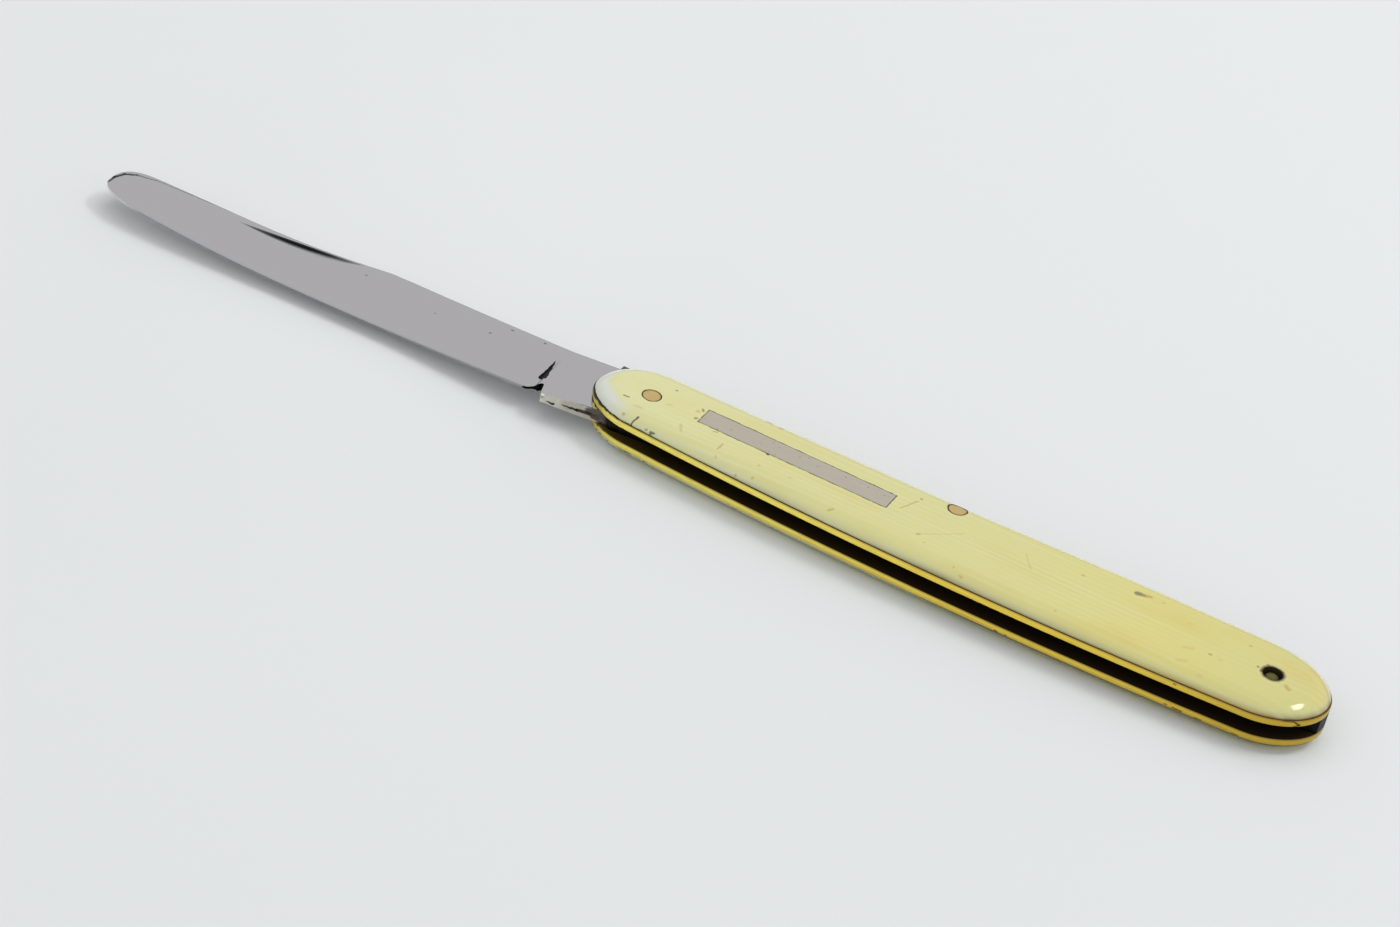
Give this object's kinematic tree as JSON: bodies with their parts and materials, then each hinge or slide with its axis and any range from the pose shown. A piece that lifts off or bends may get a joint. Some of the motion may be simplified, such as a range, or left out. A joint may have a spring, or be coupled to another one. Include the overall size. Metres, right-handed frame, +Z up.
{
  "type": "pen knife",
  "caption": "Slim slip-joint folding pen knife, shown open: round-tipped polished blade, brass liners, back spring, ivory-grained scales and an inlaid bar shield.",
  "frame": {"origin": "middle of the flat face of the back scale that the knife rests on", "axes": "+X along the handle from blade to butt, +Y towards the back and its spring, +Z up through the front scale"},
  "size_m": [0.1531, 0.0138, 0.0061],
  "materials": {
    "blade_steel": "stainless steel, mirror polished",
    "spring_steel": "carbon steel, glazed and darkened with age",
    "liner_brass": "rolled brass, edges polished",
    "celluloid": "ivory-grained celluloid, polished",
    "pin_brass": "brass wire, filed flush",
    "nickel_silver": "nickel silver, satin from wear"
  },
  "bodies": {
    "handle": {"back_spring": "spring_steel", "front_liner": "liner_brass", "back_liner": "liner_brass", "front_scale": "celluloid", "back_scale": "celluloid", "pivot_pin": "pin_brass", "centre_pin": "pin_brass", "end_pin": "pin_brass", "shield": "nickel_silver", "shield_pin_front": "pin_brass", "shield_pin_rear": "pin_brass"},
    "blade": {"blade": "blade_steel"}
  },
  "joints": [
    {"name": "blade_pivot", "type": "hinge", "parent": "handle", "child": "blade", "pos_m": [-0.0377, 0.00055, 0.00305], "axis": [0, 0, 1], "range_deg": [0, 174], "deforming": ["back_spring"]}
  ]
}
